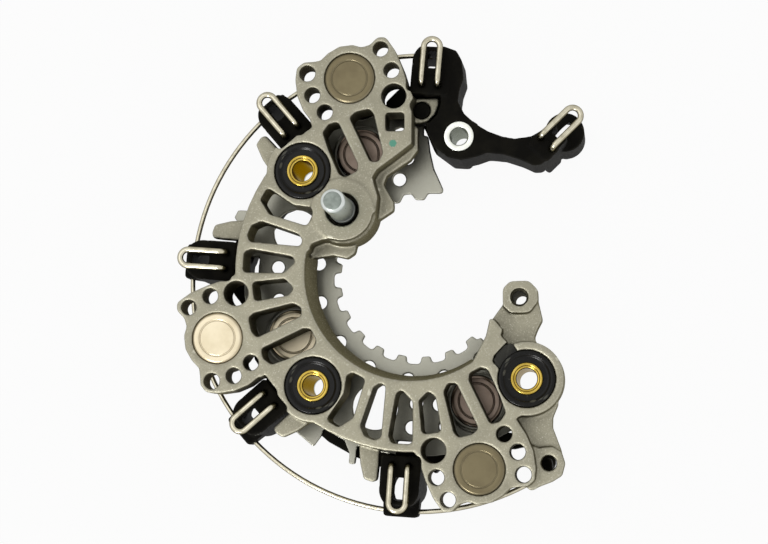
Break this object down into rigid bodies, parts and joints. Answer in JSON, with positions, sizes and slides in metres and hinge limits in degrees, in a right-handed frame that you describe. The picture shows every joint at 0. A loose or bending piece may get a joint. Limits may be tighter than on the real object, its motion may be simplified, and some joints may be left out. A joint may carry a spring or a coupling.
{
  "type": "alternator rectifier",
  "caption": "Open-ring alternator rectifier: die-cast heat sink, toothed plate and black wire carrier with press-fit diodes, wire hooks, bushes and an output stud.",
  "frame": {"origin": "on the alternator's shaft axis, at the level of the back rims that the part rests on", "axes": "+Z along the shaft axis towards the heat sink's front face and the output stud; +X towards the open side of the ring, +Y towards the first diode and the long arm"},
  "size_m": [0.103, 0.1208, 0.0429],
  "materials": {
    "cast": "die-cast, blasted",
    "plate": "stamped, satin",
    "carrier": "moulded, semi-matt",
    "can": "nickel-plated, satin",
    "chip": "silicon",
    "copper": "copper, partly tinned",
    "seal": "potting, dull",
    "brass": "turned",
    "insulator": "moulded, smooth",
    "zinc": "zinc-plated",
    "tinned": "tinned wire"
  },
  "bodies": {
    "root": {"positive_heat_sink": "cast", "negative_plate": "plate", "terminal_carrier": "carrier", "positive_diode_can_1": "can", "positive_diode_can_2": "can", "positive_diode_can_3": "can", "negative_diode_can_1": "can", "negative_diode_can_2": "can", "negative_diode_can_3": "can", "positive_chip_1": "chip", "positive_chip_2": "chip", "positive_chip_3": "chip", "negative_chip_1": "chip", "negative_chip_2": "chip", "negative_chip_3": "chip", "positive_lead_1": "copper", "positive_lead_2": "copper", "positive_lead_3": "copper", "negative_lead_1": "copper", "negative_lead_2": "copper", "negative_lead_3": "copper", "positive_seal_1": "seal", "positive_seal_2": "seal", "positive_seal_3": "seal", "negative_seal_1": "seal", "negative_seal_2": "seal", "negative_seal_3": "seal", "brass_bush_1": "brass", "brass_bush_2": "brass", "brass_bush_3": "brass", "bush_insulator_1": "insulator", "bush_insulator_2": "insulator", "bush_insulator_3": "insulator", "fin_spacer_1": "insulator", "fin_spacer_2": "insulator", "fin_spacer_3": "insulator", "steel_washer_1": "zinc", "steel_washer_2": "zinc", "steel_washer_3": "zinc", "output_stud": "zinc", "arm_insert": "zinc", "ring_wire": "tinned", "terminal_hook_1": "tinned", "terminal_hook_2": "tinned", "terminal_hook_3": "tinned", "terminal_hook_4": "tinned", "terminal_hook_5": "tinned", "terminal_hook_6": "tinned", "phase_link_1": "copper", "phase_link_2": "copper", "phase_link_3": "copper", "joint_cap_1": "carrier", "joint_cap_2": "carrier", "joint_cap_3": "carrier"}
  },
  "joints": []
}
